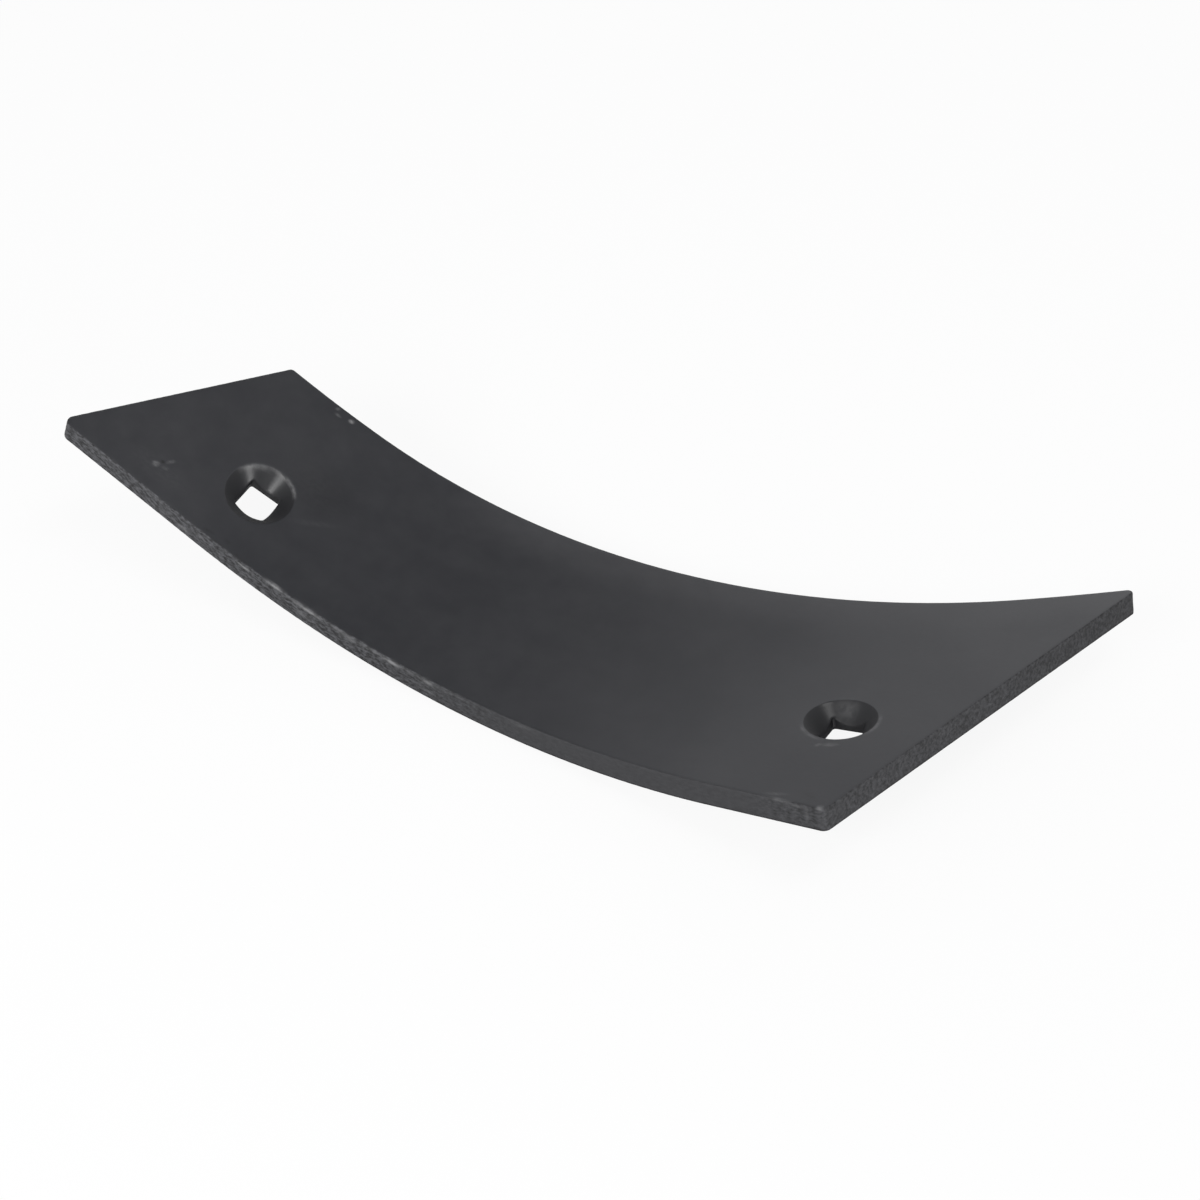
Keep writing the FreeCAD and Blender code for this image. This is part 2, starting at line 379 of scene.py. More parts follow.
@dataclass(frozen=True)
class BlankSizes:
    """Sizes of the flat blank and of its bend, taken on the concave face."""

    thickness: float = 9.0 * MM
    inside_radius: float = 315.0 * MM
    bend_angle: float = math.radians(39.0)
    bend_line_angle: float = math.radians(72.0)
    narrow_flat: float = 57.0 * MM
    front_edge: float = 333.0 * MM
    narrow_end: float = 94.0 * MM
    narrow_end_angle: float = math.radians(61.0)
    wide_end: float = 176.0 * MM
    wide_end_angle: float = math.radians(77.5)
    rear_edge_hollow: float = 24.0 * MM
    front_corner_radius: float = 3.0 * MM
    rear_corner_radius: float = 2.0 * MM
    edge_radius: float = 0.5 * MM

    @property
    def skew(self) -> float:
        """Angle from the blank's y axis to the bend lines."""
        return RIGHT_ANGLE - self.bend_line_angle

    def corner(self, which: Corner) -> Vector:
        """Where one of the corners would be if it were sharp."""
        wide_front = Vector((self.front_edge, 0.0))
        return {
            Corner.NARROW_FRONT: Vector((0.0, 0.0)),
            Corner.WIDE_FRONT: wide_front,
            Corner.WIDE_REAR: wide_front + heading(self.wide_end_angle) * self.wide_end,
            Corner.NARROW_REAR: heading(self.narrow_end_angle) * self.narrow_end,
        }[which]


@dataclass(frozen=True)
class RearArc:
    """The hollow rear edge: an arc through both rear corners."""

    centre: Vector
    radius: float

    @classmethod
    def through(cls, sizes: BlankSizes) -> "RearArc":
        """Work the arc out.

        Args:
            sizes: Of the blank.

        Returns:
            The arc, with its centre outside the plate.
        """
        wide = sizes.corner(Corner.WIDE_REAR)
        narrow = sizes.corner(Corner.NARROW_REAR)
        half_chord = (wide - narrow).length / 2.0
        hollow = sizes.rear_edge_hollow
        radius = (half_chord ** 2 + hollow ** 2) / (2.0 * hollow)
        outward = turned((wide - narrow).normalized(), RIGHT_ANGLE)
        return cls((wide + narrow) / 2.0 + outward * (radius - hollow), radius)

    def angle_of(self, place: Vector) -> float:
        """Direction from the centre to a place."""
        return math.atan2(place.y - self.centre.y, place.x - self.centre.x)

    def gap(self, place: Vector) -> float:
        """How far inside the plate a place lies from the arc."""
        return (place - self.centre).length - self.radius


@dataclass(frozen=True)
class Rounding:
    """A rounded corner, with the directions of the sides before and after it."""

    corner: Vector
    arriving: Vector
    leaving: Vector
    radius: float

    @property
    def trim(self) -> float:
        """What the rounding takes off each side."""
        return self.radius * math.tan(self.arriving.angle(self.leaving) / 2.0)

    def points(self, steps: int) -> list[RimPoint]:
        """Walk round the corner.

        Args:
            steps: Between the two ends.

        Returns:
            Points of the rounding, both ends included.
        """
        first, turn = turned(self.arriving, RIGHT_ANGLE), self.arriving.angle(self.leaving)
        centre = self.corner - self.arriving * self.trim + first * self.radius
        inwards = [turned(first, turn * step / steps) for step in range(steps + 1)]
        return [RimPoint(centre - inward * self.radius, inward) for inward in inwards]


@dataclass
class BlankOutline:
    """The rounded outline of the blank, as a closed row of points."""

    sizes: BlankSizes
    spacing: float = 0.9 * MM
    corner_steps: int = 8

    def points(self) -> list[RimPoint]:
        """Walk round the outline from the narrow front corner.

        Returns:
            Points in anticlockwise order, each with its inward direction.
        """
        arc = RearArc.through(self.sizes)
        corners = [self.sizes.corner(which) for which in Corner]
        front, wide, _, narrow = (
            (after - before).normalized()
            for before, after in zip(corners, corners[1:] + corners[:1])
        )
        leave, arrive = (
            turned((corner - arc.centre).normalized(), -RIGHT_ANGLE) for corner in corners[2:]
        )
        front_radius, rear_radius = self.sizes.front_corner_radius, self.sizes.rear_corner_radius
        first, second, third, last = (
            Rounding(*corner) for corner in zip(
                corners,
                (narrow, front, wide, arrive),
                (front, wide, leave, narrow),
                (front_radius, front_radius, rear_radius, rear_radius),
            )
        )
        return [
            *first.points(self.corner_steps), *self.side_points(first, second),
            *second.points(self.corner_steps), *self.side_points(second, third),
            *third.points(self.corner_steps), *self.arc_points(arc, third, last),
            *last.points(self.corner_steps), *self.side_points(last, first),
        ]

    def side_points(self, before: Rounding, after: Rounding) -> list[RimPoint]:
        """Walk along a straight side.

        Args:
            before: The corner that it leaves.
            after: The corner that it reaches.

        Returns:
            Points between the two roundings.
        """
        start, ahead = before.corner, (after.corner - before.corner).normalized()
        run = (after.corner - start).length - before.trim - after.trim
        steps = math.ceil(run / self.spacing)
        return [
            RimPoint(start + ahead * (before.trim + run * step / steps), turned(ahead, RIGHT_ANGLE))
            for step in range(1, steps)
        ]

    def arc_points(self, arc: RearArc, before: Rounding, after: Rounding) -> list[RimPoint]:
        """Walk along the hollow rear edge.

        Args:
            arc: Its curve.
            before: The corner that it leaves.
            after: The corner that it reaches.

        Returns:
            Points between the two roundings.
        """
        first = arc.angle_of(before.corner) - before.trim / arc.radius
        last = arc.angle_of(after.corner) + after.trim / arc.radius
        steps = math.ceil(abs(last - first) * arc.radius / self.spacing)
        inwards = [heading(first + (last - first) * step / steps) for step in range(1, steps)]
        return [RimPoint(arc.centre + inward * arc.radius, inward) for inward in inwards]


@dataclass(frozen=True)
class PlatePoint:
    """A vertex of the blank. Each of its fields becomes an attribute of the mesh.

    It holds its place, the direction into the plate where it is on an edge, its shares of
    the cut's finish and of the bores' finish and painted shade, how far it is rubbed light
    or has a painted highlight round a hole, or dark where less than 0, and how smooth a
    hole's cone is there.
    """

    blank_place: Vector
    inward: Vector = field(default_factory=Vector)
    cut: float = 0.0
    bore: float = 0.0
    wear_and_highlight: float = 0.0
    polish: float = 0.0


@dataclass(frozen=True)
class BoltHole:
    """A square hole for the neck of a plough bolt, countersunk for its head."""

    x: float
    y: float
    square: float = 13.0 * MM
    square_corner_radius: float = 1.0 * MM
    countersink: float = 26.0 * MM
    turn: float = math.radians(4.0)
    # painted highlights of the rim and the cone, partly a light burr on the rim
    wear_and_highlight: tuple[HoleHighlight, ...] = ()
    polish: tuple[Polish, ...] = ()
    rim_break: float = 0.15 * MM
    rim_break_sag: float = 0.05 * MM
    back_break: float = 0.3 * MM
    margin: float = 0.9 * MM
    face_rings: tuple[float, ...] = (2.4 * MM, 1.7 * MM, 1.1 * MM, 0.6 * MM)
    flat_steps: int = 14
    corner_steps: int = 6
    cone_steps: int = 7
    wall_steps: int = 5

    @property
    def centre(self) -> Vector:
        """Middle of the hole on the blank."""
        return Vector((self.x, self.y))

    def square_points(self) -> list[RimPoint]:
        """Walk round the square.

        Returns:
            Its points, each with the direction into the plate.
        """
        half = self.square / 2.0
        flat = half - self.square_corner_radius
        quarter = [
            (Vector((half, -flat + 2.0 * flat * step / self.flat_steps)), 0.0)
            for step in range(self.flat_steps)
        ]
        for step in range(self.corner_steps):
            swing = RIGHT_ANGLE * step / self.corner_steps
            rounding = heading(swing) * self.square_corner_radius
            quarter.append((Vector((flat, flat)) + rounding, swing))
        sides = [self.turn + number * RIGHT_ANGLE for number in range(4)]
        return [
            RimPoint(self.centre + turned(place, side), heading(side + swing))
            for side in sides
            for place, swing in quarter
        ]

    def rings(self, thickness: float) -> list[list[Vector]]:
        """Rings of points down the hole, from the concave face to the back.

        Args:
            thickness: Of the plate.

        Returns:
            Rings with as many points each, matched point by point.
        """
        rim = self.countersink / 2.0
        points = self.square_points()
        bearings = [(point.place - self.centre).normalized() for point in points]
        reaches = [(point.place - self.centre).length for point in points]

        def circle(radius: float, lift: float) -> list[Vector]:
            """A ring at one distance from the middle."""
            return [raised(self.centre + bearing * radius, lift) for bearing in bearings]

        def square(outside: float, lifts: Sequence[float]) -> list[Vector]:
            """A ring that keeps one distance outside the square."""
            return [raised(point.inset(outside), lift) for point, lift in zip(points, lifts)]

        top = rim - self.rim_break
        made = [circle(rim + outset, 0.0) for outset in self.face_rings]
        made += [
            circle(rim + self.rim_break, 0.0),
            circle(rim, -self.rim_break_sag),
            circle(top, -self.rim_break),
        ]
        for step in range(1, self.cone_steps + 1):
            share = step / self.cone_steps
            radii = [top + (reach + self.rim_break - top) * share for reach in reaches]
            made.append([
                raised(self.centre + bearing * radius, radius - rim)
                for bearing, radius in zip(bearings, radii)
            ])
        tops = [reach - rim - self.rim_break for reach in reaches]
        bottom = -thickness + self.back_break
        for step in range(self.wall_steps + 1):
            share = step / self.wall_steps
            made.append(square(0.0, [lift + (bottom - lift) * share for lift in tops]))
        level = [-thickness] * len(points)
        return made + [square(self.back_break, level), square(self.margin, level)]

    def vertex(self, place: Vector, thickness: float) -> PlatePoint:
        """Dress a point of one of the rings.

        Args:
            place: Where it is on the blank.
            thickness: Of the plate.

        Returns:
            The vertex with its finish.
        """
        offset = place.to_2d() - self.centre
        # painted highlight of the rim and the cone
        worn = sum(arc.share(offset, self.countersink / 2.0) for arc in self.wear_and_highlight)
        smooth = min(1.0, sum(strip.share(offset) for strip in self.polish))
        return PlatePoint(
            place,
            bore=float(-thickness < place.z < 0.0),
            wear_and_highlight=worn,
            polish=smooth if place.z < 0.0 else 0.0,
        )


@dataclass
class PlateMesh:
    """The flat blank as one closed mesh, with the values that its finish follows."""

    sizes: BlankSizes
    holes: Sequence[BoltHole]
    nicks: Sequence[Nick]
    wear_and_highlight: Sequence[EdgeWear]
    margin: float = 1.6 * MM
    edge_steps: int = 4
    wall_steps: int = 14
    spill: float = 0.25
    nick_height: float = 2.7 * MM
    face_spacing: float = 2.4 * MM
    clearance: float = 1.44 * MM
    points: list[PlatePoint] = field(default_factory=list)
    faces: list[tuple[int, ...]] = field(default_factory=list)

    def add_point(self, point: PlatePoint) -> int:
        """Add a vertex and give its number."""
        self.points.append(point)
        return len(self.points) - 1

    def bridge(self, upper: Sequence[int], lower: Sequence[int]) -> None:
        """Join two rings of one length with faces that look away from the plate.

        Args:
            upper: Vertex numbers of the ring nearer the concave face.
            lower: Those of the other ring.
        """
        for number in range(len(upper)):
            following = (number + 1) % len(upper)
            self.faces.append((upper[number], lower[number], lower[following], upper[following]))

    def edge_profile(self) -> list[tuple[float, float, float]]:
        """Section of a sheared edge, from the concave face to the back.

        Returns:
            Inset from the outline, lift, and how much of the cut's finish each ring has.
        """
        radius, thickness = self.sizes.edge_radius, self.sizes.thickness
        curve = []
        for step in range(self.edge_steps + 1):
            swing = RIGHT_ANGLE * step / self.edge_steps
            inset, drop = radius * (1.0 - math.sin(swing)), radius * (1.0 - math.cos(swing))
            curve.append((inset, drop, self.spill + (1.0 - self.spill) * step / self.edge_steps))
        upper = [(inset, -drop, share) for inset, drop, share in curve]
        lower = [(inset, drop - thickness, share) for inset, drop, share in reversed(curve)]
        run = thickness - 2.0 * radius
        wall = [
            (0.0, -radius - run * step / self.wall_steps, 1.0)
            for step in range(1, self.wall_steps)
        ]
        return [(self.margin, 0.0, 0.0)] + upper + wall + lower + [(self.margin, -thickness, 0.0)]

    def edge_vertex(self, point: RimPoint, inset: float, lift: float, cut: float) -> PlatePoint:
        """Dress a point of a sheared edge, or of the margin beside it.

        Args:
            point: The point of the outline.
            inset: How far inside it the vertex lies.
            lift: The vertex's height on the blank.
            cut: How much of the cut's finish it has.

        Returns:
            The vertex, pushed in where the front rim has a nick.
        """
        along, away = point.place.x, point.place.y
        dent = worn = 0.0
        if away <= self.sizes.edge_radius:
            near_rim = max(0.0, 1.0 + lift / self.nick_height)
            dent = near_rim * sum(nick.depth_at(along) for nick in self.nicks)
        if away <= self.sizes.front_corner_radius and inset < self.margin:
            worn = sum(patch.share(along, lift) for patch in self.wear_and_highlight)
        place = raised(point.inset(inset + dent * cut), lift)
        return PlatePoint(place, point.inward.to_3d(), cut=cut, wear_and_highlight=worn)

    def build(self) -> Mesh:
        """Build the blank.

        Returns:
            A closed mesh in blank coordinates, with its named attributes.
        """
        rim = BlankOutline(self.sizes).points()
        rings = [
            [self.add_point(self.edge_vertex(point, inset, lift, cut)) for point in rim]
            for inset, lift, cut in self.edge_profile()
        ]
        for upper, lower in zip(rings, rings[1:]):
            self.bridge(upper, lower)
        top_loops, back_loops = [rings[0]], [rings[-1]]
        thickness = self.sizes.thickness
        for hole in self.holes:
            hole_rings = [
                [self.add_point(hole.vertex(place, thickness)) for place in ring]
                for ring in hole.rings(thickness)
            ]
            for upper, lower in zip(hole_rings, hole_rings[1:]):
                self.bridge(lower, upper)
            top_loops.append(hole_rings[0])
            back_loops.append(hole_rings[-1])
        self.fill_face(top_loops, 0.0, looks_up=True)
        self.fill_face(back_loops, -thickness, looks_up=False)
        return self.to_mesh()

    def fill_face(self, loops: Sequence[Sequence[int]], lift: float, looks_up: bool) -> None:
        """Cover one side of the plate with small triangles.

        Args:
            loops: Vertex numbers of the outline and of each hole.
            lift: Height of the face on the blank.
            looks_up: Whether the face looks off the concave side.
        """
        numbers = [number for loop in loops for number in loop]
        flat = [self.points[number].blank_place.to_2d() for number in numbers]
        edges, start = [], 0
        for loop in loops:
            count = len(loop)
            edges += [(start + step, start + (step + 1) % count) for step in range(count)]
            start += count
        reaches = [
            max((self.points[number].blank_place.to_2d() - hole.centre).length for number in loop)
            for hole, loop in zip(self.holes, loops[1:])
        ]
        for place in self.face_places(reaches):
            numbers.append(self.add_point(PlatePoint(raised(place, lift))))
            flat.append(place)
        faces_before = len(self.faces)
        holes = [set(loop) for loop in loops[1:]]
        triangles, sources = delaunay_2d_cdt(flat, edges, [], INSIDE_THE_EDGES, MERGE_GAP)[2:4]
        for triangle in triangles:
            corners = [numbers[sources[corner][0]] for corner in triangle]
            if not any(hole.issuperset(corners) for hole in holes):
                self.faces.append(tuple(corners if looks_up else reversed(corners)))
        log.info("face at %.1f mm: %d triangles", lift / MM, len(self.faces) - faces_before)

    def face_places(self, reaches: Sequence[float]) -> list[Vector]:
        """Spread even places over one face, in rows along the bend lines.

        Args:
            reaches: Radius of each hole's outermost ring on that face.

        Returns:
            Places that keep clear of the outline and of the holes.
        """
        sizes, step = self.sizes, self.face_spacing
        arc = RearArc.through(sizes)
        narrow_inward = turned(heading(sizes.narrow_end_angle), -RIGHT_ANGLE)
        wide_inward = turned(heading(sizes.wide_end_angle), RIGHT_ANGLE)
        wide_front = sizes.corner(Corner.WIDE_FRONT)
        count = math.ceil((sizes.front_edge + sizes.wide_end) / step)
        found = []
        for row in range(count):
            for column in range(-count, count):
                upright = Vector((row * step, (column + 0.5 * (row % 2)) * step))
                place = turned(upright, -sizes.skew)
                gap = min(
                    place.y,
                    place.dot(narrow_inward),
                    (place - wide_front).dot(wide_inward),
                    arc.gap(place),
                )
                if gap >= self.margin + self.clearance and all(
                    (place - hole.centre).length > reach + self.clearance
                    for hole, reach in zip(self.holes, reaches)
                ):
                    found.append(place)
        return found

    def to_mesh(self) -> Mesh:
        """Write the vertices and faces into a mesh.

        Returns:
            The mesh, with an attribute for each field of its vertices.
        """
        mesh = bpy.data.meshes.new("blank")
        mesh.from_pydata([tuple(point.blank_place) for point in self.points], [], self.faces)
        mesh.validate()
        for item in fields(PlatePoint):
            values = np.array([getattr(point, item.name) for point in self.points], np.float32)
            kind, channel = ("FLOAT_VECTOR", "vector") if values.ndim == 2 else ("FLOAT", "value")
            layer = mesh.attributes.new(item.name, kind, "POINT")
            layer.data.foreach_set(channel, values.ravel())
        for polygon in mesh.polygons:
            polygon.use_smooth = True
        return mesh


@dataclass
class BendTree:
    """Geometry nodes that roughen the sheared edges of the blank and then bend it."""

    sizes: BlankSizes
    edge_roughness: float = 0.12 * MM
    edge_grain: float = 2.2 * MM
    edge_detail: float = 3.0
    edge_onset: Ramp = Ramp(0.35, 0.8)
    seed: float = 7.0

    def build(self, material: Material) -> NodeTree:
        """Build the tree.

        Args:
            material: The finish that the bent plate gets.

        Returns:
            A tree whose sizes are named inputs.
        """
        group = bpy.data.node_groups.new("bend_on_skewed_lines", "GeometryNodeTree")
        face = group.interface
        face.new_socket("Geometry", in_out="INPUT", socket_type="NodeSocketGeometry")
        for name, value in self.inputs().items():
            socket = face.new_socket(name, in_out="INPUT", socket_type="NodeSocketFloat")
            socket.default_value = value
        face.new_socket("Geometry", in_out="OUTPUT", socket_type="NodeSocketGeometry")
        tree = Tree(group)
        entry = tree.add("NodeGroupInput")
        sizes = {name: Value(tree, entry.outputs[name]) for name in self.inputs()}
        shape = entry.outputs["Geometry"]
        for kind, sockets in (
            ("GeometryNodeSetPosition", {"Offset": self.edge_offset(tree, sizes)}),
            ("GeometryNodeSetPosition", {"Position": self.bent_position(tree, sizes)}),
            ("GeometryNodeRealizeInstances", {}),
            ("GeometryNodeSetMaterial", {"Material": material}),
        ):
            shape = tree.add(kind, sockets={"Geometry": shape, **sockets}).outputs[0]
        tree.add("NodeGroupOutput", sockets={0: shape})
        return group

    def inputs(self) -> dict[str, float]:
        """The tree's inputs by name, with the value that each gets."""
        return {
            "Inside Radius": self.sizes.inside_radius,
            "Thickness": self.sizes.thickness,
            "Bend Angle": self.sizes.bend_angle,
            "Skew": self.sizes.skew,
            "Narrow Flat": self.sizes.narrow_flat,
            "Edge Roughness": self.edge_roughness,
            "Edge Grain": self.edge_grain,
            "Seed": self.seed,
        }

    def edge_offset(self, tree: Tree, sizes: dict[str, Value]) -> Socket:
        """Push the cut edges in by a seeded noise, so that the outline stays inside its size.

        Args:
            tree: The tree.
            sizes: Its inputs by name.

        Returns:
            How far each point moves.
        """
        inward, cut = (
            tree.add("GeometryNodeInputNamedAttribute", {"data_type": kind}, {"Name": name})
            for name, kind in (("inward", "FLOAT_VECTOR"), ("cut", "FLOAT"))
        )
        pattern = tree.add("ShaderNodeTexNoise", {"noise_dimensions": "4D"}, {
            "Vector": tree.add("GeometryNodeInputPosition").outputs[0],
            "W": sizes["Seed"],
            "Scale": 1.0 / sizes["Edge Grain"],
            "Detail": self.edge_detail,
        })
        depth = self.edge_onset.at(Value(tree, pattern.outputs[0])) * sizes["Edge Roughness"]
        depth = depth * Value(tree, cut.outputs["Attribute"])
        return tree.vector_maths("SCALE", {0: inward.outputs["Attribute"], 3: depth})

    def bent_position(self, tree: Tree, sizes: dict[str, Value]) -> Socket:
        """Wrap the blank round the bend.

        Args:
            tree: The tree.
            sizes: Its inputs by name.

        Returns:
            Where each point of the blank goes, with the bend lines along Y.
        """
        x, y, lift = tree.parts(tree.add("GeometryNodeInputPosition").outputs[0])
        radius, flat, skew = sizes["Inside Radius"], sizes["Narrow Flat"], sizes["Skew"]
        across = x * skew.cosine() - y * skew.sine()
        along = x * skew.sine() + y * skew.cosine()
        bent_so_far = ((across - flat) / radius).largest(0.0).smallest(sizes["Bend Angle"])
        slope = bent_so_far - sizes["Bend Angle"] / 2.0
        flat_run = across - flat - radius * bent_so_far
        reach = radius - lift
        return tree.vector(
            slope.sine() * reach + slope.cosine() * flat_run,
            along,
            radius + sizes["Thickness"] - slope.cosine() * reach + slope.sine() * flat_run,
        )


@dataclass(frozen=True)
class WornBlack:
    """Thin satin black over hot-bent plate, rubbed along the front edge, chalky at the rear one,
    with painted shade inside the holes and beside the back of the sheared edges, and painted
    highlights round the holes.

    The ramps follow a place on the blank, or a noise where they call something patchy.
    """

    rear: RearArc
    marks: Sequence[Mark]
    deep: Colour = (0.0138, 0.0145, 0.0182, 1.0)
    faded: Colour = (0.0218, 0.0225, 0.0262, 1.0)
    chalky: Colour = (0.058, 0.058, 0.062, 1.0)
    cut_dark: Colour = (0.010, 0.010, 0.011, 1.0)
    cut_light: Colour = (0.087, 0.088, 0.095, 1.0)
    # rubbed metal, and also the colour of the painted highlights round the holes
    rubbed: Colour = (0.200, 0.200, 0.204, 1.0)
    # soot of the dark marks, and also the colour of the painted shade inside the holes
    soot_and_shade: Colour = (0.006, 0.006, 0.007, 1.0)
    mottle: Grain = Grain(34.0 * MM)
    cloud: Grain = Grain(9.0 * MM, rough=0.6)
    streak: Grain = Grain(3.0 * MM)
    speck: Grain = Grain(1.25 * MM, 2.5, 0.65)
    grit: Grain = Grain(0.45 * MM, rough=0.7)
    speck_stretch: tuple[float, float, float] = (0.5, 1.0, 1.0)
    cloud_in_fading: float = 0.4
    patchy_fading: Ramp = Ramp(0.3, 0.7)
    cloud_in_chalk: float = 0.6
    chalk_off_rear: Ramp = Ramp(0.0, 24.0 * MM, 1.0, 0.0)
    chalk_start: Ramp = Ramp(110.0 * MM, 155.0 * MM)
    chalk_along: Ramp = Ramp(240.0 * MM, 330.0 * MM, 0.52, 0.30)
    narrow_end_chalk: Ramp = Ramp(10.0 * MM, 75.0 * MM, 0.14, 0.0)
    cut_waver: float = 0.3
    cut_onset: Ramp = Ramp(0.12, 0.5)
    cut_grey_along: Ramp = Ramp(40.0 * MM, 240.0 * MM, 0.48, 0.28)
    cut_grey_inwards: Ramp = Ramp(50.0 * MM, 170.0 * MM, 0.0, -0.12)
    cut_contrast: float = 4.2
    cut_coarse: Ramp = Ramp(130.0 * MM, 225.0 * MM, 0.95, 0.10)
    wide_corner_coarse: Ramp = Ramp(300.0 * MM, 322.0 * MM, 0.0, 0.30)
    # painted shade along the lower rounding of the sheared edges, which reflects the floor's shadow
    painted_shade_by_back: Ramp = Ramp(-8.9 * MM, -7.9 * MM, 1.0, 0.0)
    painted_shade_along_back: Ramp = Ramp(120.0 * MM, 200.0 * MM, 0.30, 0.60)
    patchy_painted_shade_by_back: Ramp = Ramp(0.3, 0.6, 0.3, 1.0)
    patchy_marks: Ramp = Ramp(0.4, 0.62, 0.6, 1.4)
    # patchiness of the rubbed wear and of the painted highlights round the holes
    patchy_wear_and_highlight: Ramp = Ramp(0.35, 0.6, 0.45, 1.0)
    face_only: Ramp = Ramp(-0.5 * MM, -0.1 * MM)
    # how far the inside of the holes is darkened as painted shade
    bore_painted_shade: float = 0.7
    face_roughness: float = 0.44
    cut_roughness: float = 0.70
    bore_roughness: float = 0.64
    polished_roughness: float = 0.31
    cloud_in_roughness: float = 0.10
    speck_in_roughness: float = 0.06
    bump_strength: float = 0.35
    bump_distance: float = 0.06 * MM
    face_grit: float = 0.25
    cut_grit: float = 2.0
    cloud_in_bump: float = 0.6

    def build(self) -> Material:
        """Build the material.

        Returns:
            A node material that reads the plate's own attributes.
        """
        material = bpy.data.materials.new("worn_satin_black")
        tree = emptied_tree(material)
        place = tree.add("ShaderNodeAttribute", {"attribute_name": "blank_place"}).outputs["Vector"]
        cut, bore, wear_and_highlight, polish = (
            Value(tree, tree.add("ShaderNodeAttribute", {"attribute_name": name}).outputs["Fac"])
            for name in ("cut", "bore", "wear_and_highlight", "polish")
        )
        x, y, lift = tree.parts(place)
        mottle, cloud, streak, grit = (
            grain.over(tree, place) for grain in (self.mottle, self.cloud, self.streak, self.grit)
        )
        drawn_out = tree.vector_maths("MULTIPLY", {0: place, 1: self.speck_stretch})
        speck = self.speck.over(tree, drawn_out)
        off_streak, off_cloud, off_speck = (
            noise - NOISE_MIDDLE for noise in (streak, cloud, speck)
        )

        fading = mottle * (1.0 - self.cloud_in_fading) + cloud * self.cloud_in_fading
        colour = tree.blend(self.patchy_fading.at(fading), self.deep, self.faded)
        chalk = self.chalk_share(x, y) * (1.0 + off_cloud * self.cloud_in_chalk)
        colour = tree.blend(chalk, colour, self.chalky)
        sheared = self.cut_onset.at(cut + off_streak * self.cut_waver)
        # The sheared edges take painted shade beside the back.
        grey = self.cut_grey(x, y, off_speck) - self.back_rim_painted_shade(x, lift, streak)
        colour = tree.blend(sheared, colour, tree.blend(grey, self.cut_dark, self.cut_light))
        # Painted shade: the inside of each hole, its cone and square walls, is darkened towards the
        # soot colour.
        colour = tree.blend(bore * self.bore_painted_shade, colour, self.soot_and_shade)
        # The rubbed tint also carries the painted highlights round the holes, through the same
        # vertex attribute as the edge wear.
        for tone, tint, worn in (
            (Tone.RUBBED, self.rubbed, wear_and_highlight.largest(0.0)),
            (Tone.SOOTY, self.soot_and_shade, (wear_and_highlight * -1.0).largest(0.0)),
        ):
            marked = sum(mark.share(x, y) for mark in self.marks if mark.tone is tone)
            share = marked * self.face_only.at(lift) * self.patchy_marks.at(speck)
            share = share + worn * self.patchy_wear_and_highlight.at(streak)
            colour = tree.blend(share.smallest(1.0), colour, tint)

        roughness = self.face_roughness + off_cloud * self.cloud_in_roughness
        roughness = roughness + off_speck * self.speck_in_roughness
        roughness = roughness + sheared * (self.cut_roughness - self.face_roughness)
        roughness = roughness + bore * (self.bore_roughness - self.face_roughness)
        roughness = roughness + polish * (self.polished_roughness - self.bore_roughness)
        height = grit * (self.face_grit + sheared * self.cut_grit) + cloud * self.cloud_in_bump
        bump = tree.add("ShaderNodeBump", sockets={
            "Strength": self.bump_strength,
            "Distance": self.bump_distance,
            "Height": height,
        })
        shader = tree.add("ShaderNodeBsdfPrincipled", sockets={
            "Base Color": colour,
            "Roughness": roughness,
            "Normal": bump.outputs[0],
        })
        tree.add("ShaderNodeOutputMaterial", sockets={"Surface": shader.outputs[0]})
        return material

    def chalk_share(self, x: Value, y: Value) -> Value:
        """How chalky the face is: by the middle of the rear edge, and a little at the narrow end.

        Args:
            x: Place along the front edge.
            y: Place inwards from it.

        Returns:
            A share from 0 to 1.
        """
        away_x, away_y = x - self.rear.centre.x, y - self.rear.centre.y
        gap = (away_x * away_x + away_y * away_y).root() - self.rear.radius
        by_rear = self.chalk_off_rear.at(gap) * self.chalk_start.at(x) * self.chalk_along.at(x)
        return by_rear + self.narrow_end_chalk.at(x)

    def cut_grey(self, x: Value, y: Value, off_speck: Value) -> Value:
        """Speckled grey of the sheared edges, rougher and lighter towards the narrow end.

        Args:
            x: Place along the front edge.
            y: Place inwards from it.
            off_speck: Fine noise, from its middle.

        Returns:
            0 where the steel is dark and 1 where it is light.
        """
        coarse = self.cut_coarse.at(x) + self.wide_corner_coarse.at(x)
        level = self.cut_grey_along.at(x) + self.cut_grey_inwards.at(y)
        return level + off_speck * self.cut_contrast * coarse

    def back_rim_painted_shade(self, x: Value, lift: Value, streak: Value) -> Value:
        """Painted shade: how much darker the sheared edges are beside the back, for the floor's
        shadow that their lower rounding reflects.
        """
        shade = self.painted_shade_along_back.at(x) * self.patchy_painted_shade_by_back.at(streak)
        return self.painted_shade_by_back.at(lift) * shade


def emptied_tree(owner: Material | World) -> Tree:
    """The tree of a material or world, without its ready-made nodes."""
    owner.use_nodes = True
    owner.node_tree.nodes.clear()
    return Tree(owner.node_tree)


def new_object(name: str, data: ID) -> Object:
    """An object in the scene, at the origin, with its mesh, lamp or camera."""
    made = bpy.data.objects.new(name, data)
    bpy.context.scene.collection.objects.link(made)
    return made


def vertex_places(mesh: Mesh) -> np.ndarray:
    """A mesh's vertices, one row each."""
    places = np.zeros(len(mesh.vertices) * 3)
    mesh.vertices.foreach_get("co", places)
    return places.reshape(-1, 3)


